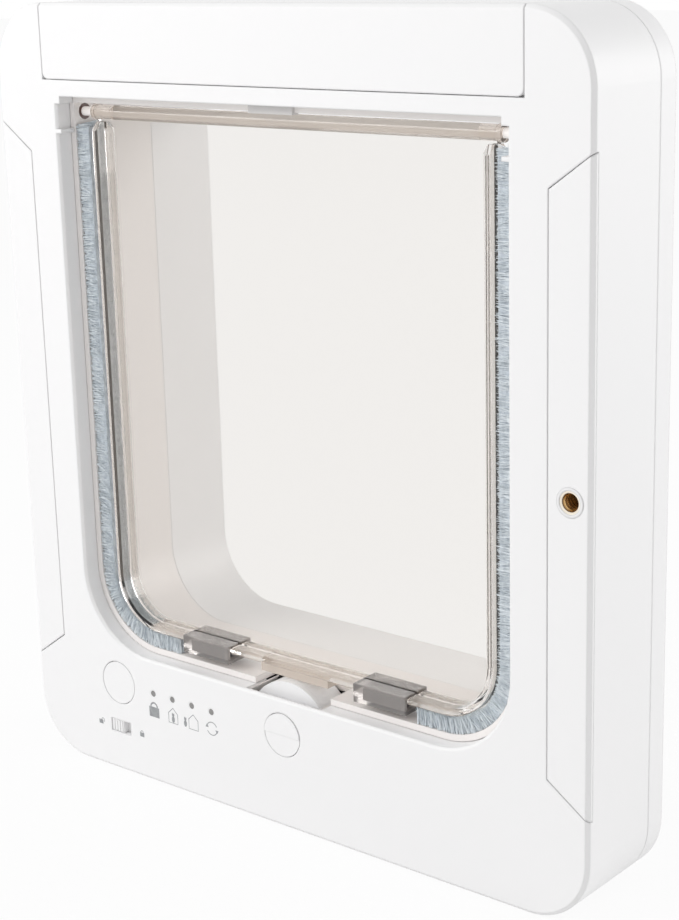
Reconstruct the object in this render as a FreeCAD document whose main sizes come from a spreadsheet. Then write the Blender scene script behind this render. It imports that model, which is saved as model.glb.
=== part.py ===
"""Cat flap with a microchip reader: the inner unit that hangs on the cat's side of a door.

A moulded casing in two shells carries a tunnel frame through the door. A clear tray-shaped
flap hangs in the tunnel on two steel pins and swings both ways between pile seals. Magnets
under the sill pull it shut, and a motor-driven lock disc under the sill keeps it from
swinging in, out or at all. The batteries sit in a bay above the opening.

Millimetres. X is the width, +Y goes through the door, +Z is up. The origin is in the middle
of the bounding box's base, so the casing stands with its base on Z = 0.
"""
import FreeCAD, Part
import Sketcher
import os
import re
from math import acos, asin, cos, degrees, pi, radians, sin, sqrt, tan

from FreeCAD import Rotation, Vector

# Driving dimensions. Depths count from the front face, heights from the base, and widths
# named "half" from the middle.
SIZES = dict(
    housing_width=251.3,
    housing_height=284.2,
    rear_depth=8.9,
    corner_radius=23.0,
    edge_chamfer=1.2,
    seam_chamfer=0.5,
    wall=2.4,

    jamb_width=29.75,
    opening_bottom=48.5,
    opening_drop=31.9,
    opening_radius=30.0,
    lip_chamfer=0.9,
    collar_wall=2.2,
    collar_depth=12.0,
    ear_reach=2.0,
    ear_high_drop=2.6,
    ear_low_drop=12.9,
    ear_low_height=1.5,

    frame_setback=6.3,
    frame_gap=0.2,
    frame_wall=2.3,
    draft_start=17.0,
    draft_side=4.8,
    draft_top=2.8,
    spigot_radius=26.0,
    spigot_top_radius=4.0,
    spigot_wall=2.4,
    spigot_reach=25.0,

    hinge_depth=11.2,
    hinge_drop=3.4,
    bar_radius=2.6,
    bar_gap=7.4,
    end_disc_radius=2.9,
    end_disc_width=1.6,
    pin_radius=1.6,
    pin_seat=7.0,
    bush_radius=2.8,
    running_gap=0.08,

    flap_gap=1.7,
    flap_low_gap=0.4,
    flap_radius=20.0,
    pane_thickness=2.0,
    rim_thickness=2.6,
    rim_depth=10.4,
    rim_drop=3.4,
    rim_end_slope=3.0,
    rim_chamfer=0.7,
    tab_half=15.3,
    tab_rise=2.9,
    tab_play=1.4,

    holder_offset=39.9,
    holder_width=22.0,
    holder_depth=13.0,
    holder_rise=2.5,
    holder_height=6.6,
    holder_wall=1.2,
    magnet_gap=0.1,
    sill_magnet_width=18.0,
    sill_magnet_depth=8.0,
    sill_magnet_height=4.0,

    brush_pile=6.3,
    brush_low_pile=5.6,
    brush_depth=9.0,
    brush_inset=0.3,
    brush_drop=4.4,
    brush_end_gap=3.6,

    clip_half=9.4,
    clip_height=1.9,
    clip_depth=1.4,
    clip_lap=0.6,

    cover_inset=23.85,
    cover_rise=5.9,
    cover_thickness=2.2,
    cover_radius=2.5,
    cover_gap=0.25,
    cover_land=2.6,
    bay_wall=2.0,
    tray_wall=1.2,
    tray_margin=1.1,
    tray_gap=0.2,
    tray_height=6.0,
    cell_radius=7.1,
    cell_length=49.2,
    cell_nub=1.3,
    cell_nub_radius=2.7,
    cell_inset=34.3,
    cell_gap=0.3,
    contact_thickness=0.8,

    side_width=15.25,
    side_low=48.8,
    side_drop=51.8,
    side_rise=10.9,
    side_thickness=2.2,
    side_backing=2.4,

    insert_inset=7.45,
    insert_height=140.0,
    insert_radius=4.3,
    insert_length=12.0,
    thread_radius=2.5,
    bolt_radius=3.4,
    boss_wall=1.9,

    screw_inset=12.15,
    screw_low=24.0,
    screw_drop=36.2,
    screw_boss_radius=4.2,
    screw_radius=1.5,
    screw_gap=0.15,
    screw_head_radius=2.9,
    screw_head_height=1.5,
    screw_sink=0.3,
    screw_length=16.0,

    button_x=-81.5,
    button_drop=12.8,
    button_radius=8.2,
    button_travel=1.0,
    catch_overlap=1.4,
    catch_thickness=1.2,
    catch_width=6.0,
    control_gap=0.2,

    lamp_first_x=-63.3,
    lamp_pitch=9.78,
    lamp_drop=12.9,
    lamp_radius=1.15,
    led_width=1.6,
    led_height=1.2,
    led_depth=0.8,

    window_x=-81.55,
    window_drop=17.85,
    window_width=10.3,
    window_rise=5.0,
    slider_width=6.1,
    slider_inset=0.3,
    slider_overlap=1.2,
    slider_left_overlap=4.0,
    slider_right_overlap=5.0,
    ridge_pitch=1.4,
    ridge_width=0.6,
    ridge_height=0.25,

    board_depth=9.0,
    board_thickness=1.6,
    board_inset=20.65,
    board_right=-27.0,
    board_low=9.0,
    board_drop=4.5,
    board_post_radius=2.4,
    board_post_inset=3.4,
    switch_size=6.0,
    switch_height=3.4,
    plunger_radius=1.7,
    slide_switch_width=10.0,
    slide_switch_rise=5.0,
    slide_switch_height=4.2,
    chip_offset=40.0,
    chip_size=10.0,
    chip_thickness=1.4,

    knob_drop=13.15,
    knob_radius=7.95,
    step_depth=0.3,
    step_half=5.6,
    dimple_radius=0.55,
    dimple_inset=1.3,
    dimple_depth=0.5,
    shaft_radius=3.0,
    shaft_flat=2.2,
    shaft_step=0.6,
    disc_gap=0.3,
    disc_thickness=1.8,
    disc_span=12.8,
    disc_hub_radius=9.0,
    lug_catch=1.45,
    lug_angle=52.0,
    cutout_start=1.6,
    cutout_gap=0.56,
    cutout_end_gap=1.4,

    gear_module=0.7,
    gear_teeth=32,
    pinion_teeth=12,
    gear_thickness=3.0,
    gear_offset=13.4,
    gear_backlash=0.12,
    pinion_angle=-42.0,
    motor_shaft_radius=1.5,
    motor_radius=6.0,
    motor_flat=5.0,
    motor_gap=2.5,
    bracket_gap=1.2,
    bracket_thickness=2.6,
    bracket_foot=8.0,
    bracket_left=-12.0,
    bracket_right=22.0,
    bracket_drop=5.5,

    coil_depth=24.0,
    coil_width=9.0,
    coil_thickness=2.4,
    coil_gap=0.15,
)

# Dimensions that follow from the driving ones, each after those that it needs.
DERIVED = dict(
    bay_back="cover_thickness + 2 * cell_gap + 2 * tray_margin + 4 * cell_radius + tray_gap",
    seam_depth="bay_back + bay_wall",
    housing_depth="seam_depth + rear_depth",
    back_wall_depth="housing_depth - wall",
    door_end="housing_depth + spigot_reach",
    front_plane="-door_end / 2",

    half_width="housing_width / 2",
    opening_half="half_width - jamb_width",
    opening_top="housing_height - opening_drop",
    ear_high="opening_top - ear_high_drop",
    ear_low="opening_top - ear_low_drop",

    frame_half="opening_half - frame_gap",
    frame_bottom="opening_bottom + frame_gap",
    frame_top="opening_top - frame_gap",
    frame_radius="opening_radius - frame_gap",
    tunnel_half="frame_half - frame_wall",
    tunnel_bottom="frame_bottom + frame_wall",
    tunnel_top="frame_top - frame_wall",
    tunnel_radius="frame_radius - frame_wall",
    spigot_half="tunnel_half - draft_side",
    spigot_top="tunnel_top - draft_top",

    hinge_height="tunnel_top - hinge_drop",
    bar_half="tunnel_half - bar_gap",
    flap_half="tunnel_half - brush_pile - flap_gap",
    flap_bottom="tunnel_bottom + brush_low_pile + flap_low_gap",
    rim_top="hinge_height - rim_drop",
    rim_front="hinge_depth - rim_depth / 2",
    pane_front="hinge_depth - pane_thickness / 2",
    tab_depth="disc_span - 2 * disc_thickness - tab_play",
    tab_front="hinge_depth - tab_depth / 2",
    tab_bottom="tunnel_bottom + tab_rise",
    holder_front="hinge_depth - holder_depth / 2",
    holder_bottom="tunnel_bottom + holder_rise",
    holder_top="holder_bottom + holder_height",
    brush_top="hinge_height - brush_drop",
    brush_end="holder_offset + holder_width / 2 + brush_end_gap",

    cover_half="half_width - cover_inset",
    cover_bottom="opening_top + cover_rise",
    cover_reach="seam_depth - cover_gap",
    bay_floor="cover_bottom + cover_land",
    tray_floor="bay_floor + tray_wall",
    cell_offset="cover_half - cell_inset",

    side_inner="half_width - side_width",
    side_high="housing_height - side_drop",
    insert_x="half_width - insert_inset",
    screw_x="half_width - screw_inset",
    screw_high="housing_height - screw_drop",
    screw_end="housing_depth - screw_sink",

    button_height="opening_bottom - button_drop",
    lamp_height="opening_bottom - lamp_drop",
    window_height="button_height - window_drop",
    knob_height="opening_bottom - knob_drop",
    board_left="board_inset - half_width",
    board_high="opening_bottom - board_drop",
    board_back="board_depth + board_thickness",

    button_thickness="wall + control_gap + catch_thickness",
    knob_thickness="wall + control_gap + catch_thickness",
    disc_depth="knob_thickness + shaft_step",
    disc_radius="tab_bottom - disc_gap - knob_height",
    lug_radius="tab_bottom + lug_catch - knob_height",
    cutout_half="sqrt(lug_radius ^ 2 - (opening_bottom - collar_wall - knob_height) ^ 2) + cutout_gap",
    cutout_depth="disc_depth + disc_span + cutout_end_gap",
    gear_depth="disc_depth + gear_offset",
    gear_end="gear_depth + gear_thickness",
    gear_pitch_radius="gear_module * gear_teeth / 2",
    pinion_pitch_radius="gear_module * pinion_teeth / 2",
    bracket_depth="gear_end + bracket_gap",
    bracket_back="bracket_depth + bracket_thickness",
    bracket_top="opening_bottom - bracket_drop",
    motor_end="back_wall_depth - motor_gap",
)

SIDES = {"left": -1, "right": 1}

# Two coordinates this close are the same one.
FLAT = 1e-4

doc = FreeCAD.newDocument("cat_flap")
sheet = doc.addObject("Spreadsheet::Sheet", "Sizes")
nodes = {}


def fill_sheet():
    """Writes every size into the sheet, one row each, under its own name."""
    rows = [(name, str(size)) for name, size in SIZES.items()]
    rows += [(name, "=" + formula) for name, formula in DERIVED.items()]
    for row, (name, content) in enumerate(rows, start=1):
        sheet.set(f"A{row}", name)
        sheet.set(f"B{row}", content)
        sheet.setAlias(f"B{row}", name)
    doc.recompute()


def named(formula):
    """A formula of sizes, spelt as an expression of the document."""
    sizes = "|".join(sorted(SIZES | DERIVED, key=len, reverse=True))
    return re.sub(rf"\b({sizes})\b", r"Sizes.\1", str(formula))


def value(formula):
    """What a formula of sizes comes to, in millimetres."""
    return float(sheet.evalExpression(named(formula)))


# Sketches

def plane_of(body, role):
    return next(f for f in body.Origin.OriginFeatures if f.Role == role)


def new_body(label):
    body = doc.addObject("PartDesign::Body", label)
    body.Label = label
    nodes[label] = body
    return body


def sketch_at(body, name, depth):
    """A sketch parallel to the front face, at a depth behind it: X across, Y up."""
    sketch = body.newObject("Sketcher::SketchObject", name)
    sketch.AttachmentSupport = [(plane_of(body, "XZ_Plane"), "")]
    sketch.MapMode = "FlatFace"
    sketch.setExpression("AttachmentOffset.Base.z", named(f"-(front_plane + {depth})"))
    return sketch


def fix(sketch, kind, geometry, point, formula):
    """Holds one point of the sketch at a distance from its origin along X or Y."""
    if str(formula) == "0":
        sketch.addConstraint(Sketcher.Constraint(
            "PointOnObject", geometry, point, -2 if kind == "DistanceX" else -1))
        return
    row = sketch.addConstraint(Sketcher.Constraint(kind, -1, 1, geometry, point, value(formula)))
    sketch.setExpression(f"Constraints[{row}]", named(formula))


def polygon(sketch, points):
    """A closed outline through points, each given as two formulas."""
    corners = [Vector(value(x), value(y), 0) for x, y in points]
    first = sketch.GeometryCount
    count = len(corners)
    for i in range(count):
        sketch.addGeometry(Part.LineSegment(corners[i], corners[(i + 1) % count]), False)
    for i in range(count):
        sketch.addConstraint(Sketcher.Constraint(
            "Coincident", first + i, 2, first + (i + 1) % count, 1))
    for i, (x, y) in enumerate(points):
        fix(sketch, "DistanceX", first + i, 1, x)
        fix(sketch, "DistanceY", first + i, 1, y)
    return sketch


def circle(sketch, x, y, radius):
    centre = Vector(value(x), value(y), 0)
    index = sketch.addGeometry(Part.Circle(centre, Vector(0, 0, 1), value(radius)), False)
    fix(sketch, "DistanceX", index, 3, x)
    fix(sketch, "DistanceY", index, 3, y)
    row = sketch.addConstraint(Sketcher.Constraint("Radius", index, value(radius)))
    sketch.setExpression(f"Constraints[{row}]", named(radius))
    return sketch


def many_sided(sketch, x, y, radius, sides=6):
    """Flat sides round a circle, for what is small or hidden and would cost many facets if round."""
    corner = f"({radius}) / cos(180 / {sides})"
    turns = [360 * i / sides for i in range(sides)]
    return polygon(sketch, [(f"{x} + {corner} * cos({turn})", f"{y} + {corner} * sin({turn})")
                            for turn in turns])


def rectangle(sketch, left, right, low, high):
    return polygon(sketch, [(left, low), (right, low), (right, high), (left, high)])


def rounded(sketch, half, low, high, low_radius, high_radius=None):
    """A rectangle about the middle, with its two lower and maybe its two upper corners round."""
    h, lo, hi = value(half), value(low), value(high)
    rl = value(low_radius)
    rh = value(high_radius) if high_radius else 0
    bottom = add_line(sketch, (-h + rl, lo), (h - rl, lo))
    low_right = add_arc(sketch, (h - rl, lo + rl), rl, -90)
    right = add_line(sketch, (h, lo + rl), (h, hi - rh))
    ring = [bottom, low_right, right]
    if high_radius:
        ring.append(add_arc(sketch, (h - rh, hi - rh), rh, 0))
    top = add_line(sketch, (h - rh, hi), (-h + rh, hi))
    ring.append(top)
    if high_radius:
        ring.append(add_arc(sketch, (-h + rh, hi - rh), rh, 90))
    left = add_line(sketch, (-h, hi - rh), (-h, lo + rl))
    low_left = add_arc(sketch, (-h + rl, lo + rl), rl, 180)
    ring += [left, low_left]
    arcs = {low_right: low_radius, low_left: low_radius}
    for index in set(ring) - {bottom, right, top, left} - set(arcs):
        arcs[index] = high_radius
    for i, this in enumerate(ring):
        after = ring[(i + 1) % len(ring)]
        kind = "Tangent" if this in arcs or after in arcs else "Coincident"
        sketch.addConstraint(Sketcher.Constraint(kind, this, 2, after, 1))
    for flat in (bottom, top):
        sketch.addConstraint(Sketcher.Constraint("Horizontal", flat))
    for upright in (right, left):
        sketch.addConstraint(Sketcher.Constraint("Vertical", upright))
    fix(sketch, "DistanceY", bottom, 1, low)
    fix(sketch, "DistanceY", top, 1, high)
    fix(sketch, "DistanceX", right, 1, half)
    fix(sketch, "DistanceX", left, 1, f"-({half})")
    for index, radius in arcs.items():
        row = sketch.addConstraint(Sketcher.Constraint("Radius", index, value(radius)))
        sketch.setExpression(f"Constraints[{row}]", named(radius))
    return sketch


def add_line(sketch, start, end):
    return sketch.addGeometry(Part.LineSegment(Vector(*start, 0), Vector(*end, 0)), False)


def add_arc(sketch, centre, radius, start_angle):
    """A quarter circle, counter-clockwise from an angle in degrees."""
    ring = Part.Circle(Vector(*centre, 0), Vector(0, 0, 1), radius)
    start = radians(start_angle)
    return sketch.addGeometry(Part.ArcOfCircle(ring, start, start + pi / 2), False)


# Features of a body

def pad(body, sketch, length):
    """Fills a sketch's outline from its plane towards +Y."""
    feature = body.newObject("PartDesign::Pad", "Pad_" + sketch.Name)
    feature.Profile = sketch
    feature.Reversed = True
    feature.setExpression("Length", named(length))
    return feature


def pocket(body, sketch, length):
    """Cuts a sketch's outline out from its plane towards +Y."""
    feature = body.newObject("PartDesign::Pocket", "Pocket_" + sketch.Name)
    feature.Profile = sketch
    feature.setExpression("Length", named(length))
    doc.recompute()
    return feature


def chamfer(body, size, picks):
    """Bevels the edges of the body so far that a test picks."""
    doc.recompute()
    base = body.Tip
    names = [f"Edge{i}" for i, edge in enumerate(base.Shape.Edges, start=1) if picks(edge)]
    feature = body.newObject("PartDesign::Chamfer", "Chamfer_" + base.Name)
    feature.Base = (base, names)
    feature.setExpression("Size", named(size))
    doc.recompute()
    return feature


def ends_at(edge, y):
    """Whether an edge lies wholly in the plane at this depth from the front face."""
    plane = value("front_plane") + value(y)
    return abs(edge.BoundBox.YMin - plane) < FLAT and abs(edge.BoundBox.YMax - plane) < FLAT


def turned(label, centre, profile, along="Y", body=None):
    """A piece turned about a line along X or Y through a centre: (radius, distance) points."""
    body = body or new_body(label)
    sketch = body.newObject("Sketcher::SketchObject", label + "_profile")
    sketch.AttachmentSupport = [(plane_of(body, "XY_Plane"), "")]
    sketch.MapMode = "FlatFace"
    for axis, formula in zip("xyz", centre):
        sketch.setExpression(f"AttachmentOffset.Base.{axis}", named(formula))
    polygon(sketch, profile if along == "Y" else [(far, radius) for radius, far in profile])
    feature = body.newObject("PartDesign::Revolution", label + "_turned")
    feature.Profile = sketch
    feature.ReferenceAxis = (sketch, ["V_Axis" if along == "Y" else "H_Axis"])
    feature.Angle = 360
    return body


# Primitives

def place(thing, x, y, z):
    for axis, formula in zip("xyz", (x, y, z)):
        thing.setExpression(f"Placement.Base.{axis}", named(formula))


def block(name, left, right, near, far, low, high):
    """A box between two X, two depths and two heights."""
    box = doc.addObject("Part::Box", name)
    box.setExpression("Length", named(f"({right}) - ({left})"))
    box.setExpression("Width", named(f"({far}) - ({near})"))
    box.setExpression("Height", named(f"({high}) - ({low})"))
    place(box, left, f"front_plane + {near}", low)
    return box


def bar(name, radius, length, rotation, sides):
    """A cylinder, or flat sides round one, still to be placed."""
    thing = doc.addObject("Part::Prism" if sides else "Part::Cylinder", name)
    thing.Placement.Rotation = rotation
    if sides:
        thing.Polygon = sides
        thing.setExpression("Circumradius", named(f"({radius}) / cos(180 / {sides})"))
    else:
        thing.setExpression("Radius", named(radius))
    thing.setExpression("Height", named(length))
    return thing


def drum(name, x, z, radius, near, far, sides=0):
    """A bar along Y between two depths."""
    thing = bar(name, radius, f"({far}) - ({near})", Rotation(Vector(1, 0, 0), -90), sides)
    place(thing, x, f"front_plane + {near}", z)
    return thing


def rod(name, left, right, depth, z, radius, sides=0):
    """A bar along X between two places."""
    thing = bar(name, radius, f"({right}) - ({left})", Rotation(Vector(0, 1, 0), 90), sides)
    place(thing, left, f"front_plane + {depth}", z)
    return thing


def fused(label, parts):
    fusion = doc.addObject("Part::MultiFuse", label)
    fusion.Shapes = parts
    fusion.Refine = True
    return fusion


def cut(label, base, *tools):
    """A base less its tools."""
    for i, tool in enumerate(tools):
        result = doc.addObject("Part::Cut", f"{label}_{i}")
        result.Base = base
        result.Tool = tool
        base = result
    return base


def group(label, parts):
    """Separate solids that share a node."""
    compound = doc.addObject("Part::Compound", label)
    compound.Links = parts
    return node(label, compound)


def node(label, thing):
    thing.Label = label
    nodes[label] = thing
    return thing


# The casing

def casing_outline(sketch, inset="0"):
    return rounded(sketch, f"half_width - {inset}", inset, f"housing_height - {inset}",
                   f"corner_radius - {inset}", f"corner_radius - {inset}")


def opening_outline(sketch, grow="0"):
    return rounded(sketch, f"opening_half + {grow}", f"opening_bottom - {grow}",
                   f"opening_top + {grow}", f"opening_radius + {grow}")


def side_outline(sketch, sign, gap="0", reach="0"):
    """The strip beside the opening: two slanted ends, and the casing's edge as its outside."""
    inner, outer = f"{sign} * (side_inner - {gap})", f"{sign} * (half_width + {reach})"
    run = "(half_width - side_inner)"
    slant = f"side_rise * {reach} / {run}"
    return polygon(sketch, [
        (inner, f"side_low - {gap}"),
        (outer, f"side_low - {gap} - side_rise - {slant}"),
        (outer, f"side_high + {gap} + side_rise + {slant}"),
        (inner, f"side_high + {gap}")])


def screw_places():
    for side, sign in SIDES.items():
        for level in ("low", "high"):
            yield f"{side}_{level}", f"{sign} * screw_x", f"screw_{level}"


def board_corners():
    for x in ("board_left + board_post_inset", "board_right - board_post_inset"):
        for z in ("board_low + board_post_inset", "board_high - board_post_inset"):
            yield x, z


def lamp_places():
    return [(f"lamp_first_x + {i} * lamp_pitch", "lamp_height") for i in range(4)]


def front_housing():
    """The front shell: bezel, side walls, collar round the opening, battery bay and bosses."""
    body = new_body("front_housing")
    pad(body, casing_outline(sketch_at(body, "casing", "0")), "seam_depth")
    chamfer(body, "edge_chamfer", lambda edge: ends_at(edge, "0"))
    pocket(body, casing_outline(sketch_at(body, "hollow", "wall"), "wall"), "seam_depth - wall")

    collar = opening_outline(sketch_at(body, "collar", "wall / 2"), "collar_wall")
    pad(body, collar, "collar_depth - wall / 2")
    bay = rectangle(sketch_at(body, "bay_block", "wall / 2"),
                    "-(cover_half - cover_land + bay_wall)", "cover_half - cover_land + bay_wall",
                    "bay_floor - bay_wall", "housing_height - wall / 2")
    pad(body, bay, "seam_depth - wall / 2")
    seat = rectangle(sketch_at(body, "cover_seat", "wall / 2"),
                     "-(cover_half + cover_land)", "cover_half + cover_land",
                     "cover_bottom - cover_land", "housing_height - wall / 2")
    pad(body, seat, "cover_thickness + wall / 2")
    for side, sign in SIDES.items():
        backing = side_outline(sketch_at(body, f"backing_{side}", "wall / 2"), sign, "side_backing",
                               "-wall / 2")
        pad(body, backing, "side_thickness + wall / 2")
    bosses = sketch_at(body, "bosses", "side_thickness")
    for name, x, z in screw_places():
        many_sided(bosses, x, z, "screw_boss_radius")
    pad(body, bosses, "seam_depth - side_thickness")
    insert_bosses = sketch_at(body, "insert_bosses", "side_thickness")
    for sign in SIDES.values():
        many_sided(insert_bosses, f"{sign} * insert_x", "insert_height", "insert_radius + boss_wall")
    pad(body, insert_bosses, "seam_depth - side_thickness")
    posts = sketch_at(body, "board_posts", "wall / 2")
    for x, z in board_corners():
        many_sided(posts, x, z, "board_post_radius")
    pad(body, posts, "board_depth - wall / 2")

    pocket(body, opening_outline(sketch_at(body, "opening", "0")), "collar_depth + 1")
    lip_top = value("opening_top") - 0.5
    inside = value("opening_half") + 1
    chamfer(body, "lip_chamfer", lambda edge: ends_at(edge, "0") and edge.BoundBox.ZMin < lip_top
            and abs(edge.BoundBox.XMin) < inside and abs(edge.BoundBox.XMax) < inside)
    ears = sketch_at(body, "ears", "0")
    for sign in SIDES.values():
        inner, outer = f"{sign} * (opening_half - ear_reach)", f"{sign} * (opening_half + lip_chamfer)"
        rectangle(ears, inner, outer, "ear_high", "opening_top + collar_wall / 2")
        rectangle(ears, inner, outer, "ear_low", "ear_low + ear_low_height")
    pad(body, ears, "frame_setback - frame_gap")

    pocket(body, rectangle(sketch_at(body, "bay", "0"), "-(cover_half - cover_land)",
                           "cover_half - cover_land", "bay_floor", "housing_height + 1"), "bay_back")
    front_recess = rectangle(sketch_at(body, "front_recess", "0"), "-(cover_half + cover_gap)",
                             "cover_half + cover_gap", "cover_bottom - cover_gap",
                             "housing_height + 1")
    pocket(body, front_recess, "cover_thickness")
    top_recess = rectangle(sketch_at(body, "top_recess", "0"), "-(cover_half + cover_gap)",
                           "cover_half + cover_gap", "housing_height - cover_thickness",
                           "housing_height + 1")
    pocket(body, top_recess, "seam_depth + 1")
    for side, sign in SIDES.items():
        recess = side_outline(sketch_at(body, f"recess_{side}", "0"), sign, "cover_gap", "2")
        pocket(body, recess, "side_thickness")

    holes = sketch_at(body, "insert_holes", "0")
    bolts = sketch_at(body, "bolt_holes", "0")
    for sign in SIDES.values():
        circle(holes, f"{sign} * insert_x", "insert_height", "insert_radius")
        many_sided(bolts, f"{sign} * insert_x", "insert_height", "bolt_radius", 12)
    pocket(body, holes, "side_thickness + insert_length")
    pocket(body, bolts, "seam_depth + 1")
    pilots = sketch_at(body, "screw_pilots", "screw_end - screw_length - 1")
    for name, x, z in screw_places():
        many_sided(pilots, x, z, "screw_radius + screw_gap / 2")
    pocket(body, pilots, "screw_length")

    controls = sketch_at(body, "control_holes", "0")
    circle(controls, "button_x", "button_height", "button_radius + control_gap")
    circle(controls, "0", "knob_height", "knob_radius + control_gap")
    for x, z in lamp_places():
        many_sided(controls, x, z, "lamp_radius", 12)
    rectangle(controls, "window_x - window_width / 2", "window_x + window_width / 2",
              "window_height - window_rise / 2", "window_height + window_rise / 2")
    pocket(body, controls, "wall + 1")
    sill = rectangle(sketch_at(body, "sill_cutout", "cutout_start"), "-cutout_half", "cutout_half",
                     "opening_bottom - collar_wall - 1", "opening_bottom + 1")
    pocket(body, sill, "collar_depth")


def drafted(first, last, depth):
    """A size that changes evenly from the draft's start to the tunnel's outer end."""
    return f"({first}) + (({last}) - ({first})) * ({depth} - draft_start) / (door_end - draft_start)"


def tunnel_section(body, name, depth, grow="0"):
    """The drafted tunnel's outline at a depth, or one that lies outside it by some amount."""
    half = drafted("tunnel_half", "spigot_half", depth)
    top = drafted("tunnel_top", "spigot_top", depth)
    radius = drafted("tunnel_radius", "spigot_radius", depth)
    return rounded(sketch_at(body, name, depth), f"{half} + {grow}", f"tunnel_bottom - {grow}",
                   f"{top} + {grow}", f"{radius} + {grow}", f"spigot_top_radius + {grow}")


def loft(body, kind, sections):
    """Fills or cuts the space between two outlines with straight lines across it."""
    feature = body.newObject(f"PartDesign::{kind}Loft", "Loft_" + sections[0].Name)
    feature.Profile = sections[0]
    feature.Sections = sections[1:]
    feature.Ruled = True
    doc.recompute()
    return feature


def rear_housing():
    """The rear shell: the wall against the door and the spigot that reaches into it."""
    body = new_body("rear_housing")
    pad(body, casing_outline(sketch_at(body, "casing", "seam_depth")), "housing_depth - seam_depth")
    chamfer(body, "seam_chamfer", lambda edge: ends_at(edge, "seam_depth"))
    pocket(body, casing_outline(sketch_at(body, "hollow", "seam_depth"), "wall"),
           "back_wall_depth - seam_depth")
    bosses = sketch_at(body, "bosses", "seam_depth")
    for name, x, z in screw_places():
        many_sided(bosses, x, z, "screw_boss_radius")
    pad(body, bosses, "back_wall_depth + wall / 2 - seam_depth")
    bolt_bosses = sketch_at(body, "bolt_bosses", "seam_depth")
    for sign in SIDES.values():
        many_sided(bolt_bosses, f"{sign} * insert_x", "insert_height", "insert_radius + boss_wall")
    pad(body, bolt_bosses, "back_wall_depth + wall / 2 - seam_depth")
    loft(body, "Additive", [tunnel_section(body, f"spigot_{place}", depth, "spigot_wall")
                            for place, depth in (("root", "back_wall_depth"), ("end", "door_end"))])
    loft(body, "Subtractive", [tunnel_section(body, f"passage_{place}", depth)
                               for place, depth in (("start", "draft_start"), ("end", "door_end"))])
    bolts = sketch_at(body, "bolt_holes", "seam_depth - 1")
    for sign in SIDES.values():
        many_sided(bolts, f"{sign} * insert_x", "insert_height", "bolt_radius", 12)
    pocket(body, bolts, "housing_depth")
    shanks = sketch_at(body, "screw_holes", "seam_depth - 1")
    for name, x, z in screw_places():
        many_sided(shanks, x, z, "screw_radius + screw_gap")
    pocket(body, shanks, "housing_depth")
    seats = sketch_at(body, "screw_seats", "screw_end - screw_head_height")
    for name, x, z in screw_places():
        many_sided(seats, x, z, "screw_head_radius + screw_gap", 12)
    pocket(body, seats, "housing_depth")


def tunnel_frame():
    """The liner of the opening, which carries the hinge bushes and the pile seals."""
    body = new_body("tunnel_frame")
    outer = rounded(sketch_at(body, "outside", "frame_setback"), "frame_half", "frame_bottom",
                    "frame_top", "frame_radius")
    pad(body, outer, "back_wall_depth - frame_setback")
    inner = rounded(sketch_at(body, "inside", "frame_setback"), "tunnel_half", "tunnel_bottom",
                    "tunnel_top", "tunnel_radius")
    pocket(body, inner, "draft_start - frame_setback")
    loft(body, "Subtractive", [tunnel_section(body, f"draft_{place}", depth)
                               for place, depth in (("start", "draft_start"), ("end", "door_end"))])
    sill = rectangle(sketch_at(body, "sill_cutout", "frame_setback"), "-cutout_half", "cutout_half",
                     "frame_bottom - 1", "tunnel_bottom + 1")
    pocket(body, sill, "cutout_depth - frame_setback")
    sockets = body.newObject("Sketcher::SketchObject", "bush_sockets")
    sockets.AttachmentSupport = [(plane_of(body, "YZ_Plane"), "")]
    sockets.MapMode = "FlatFace"
    many_sided(sockets, "front_plane + hinge_depth", "hinge_height", "bush_radius", 12)
    bore = body.newObject("PartDesign::Pocket", "Pocket_bush_sockets")
    bore.Profile = sockets
    bore.Midplane = True
    bore.setExpression("Length", named("2 * opening_half + 10"))


def hinge_bushes():
    """A bush in each side of the tunnel frame, round a steel pin of the flap."""
    for side, left, right in (("left", "-frame_half", "-tunnel_half"),
                              ("right", "tunnel_half", "frame_half")):
        blank = rod(f"{side}_bush_block", left, right, "hinge_depth", "hinge_height",
                        "bush_radius", 12)
        bore = rod(f"{side}_bush_bore", left, right, "hinge_depth", "hinge_height",
                   "pin_radius + running_gap")
        node(f"{side}_hinge_bush", cut(f"{side}_bush", blank, bore))


def hinge_clip():
    """The clip in the middle of the tunnel's upper edge that keeps the hinge bar from lifting."""
    plate = block("clip_plate", "-clip_half", "clip_half", "frame_setback - clip_depth",
                  "frame_setback", "tunnel_top - clip_lap", "frame_top - frame_gap")
    hook = block("clip_hook", "-clip_half", "clip_half", "frame_setback - clip_depth",
                 "frame_setback + clip_height", "tunnel_top - clip_lap", "tunnel_top")
    node("hinge_clip", fused("hinge_clip_body", [plate, hook]))


# The flap

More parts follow.
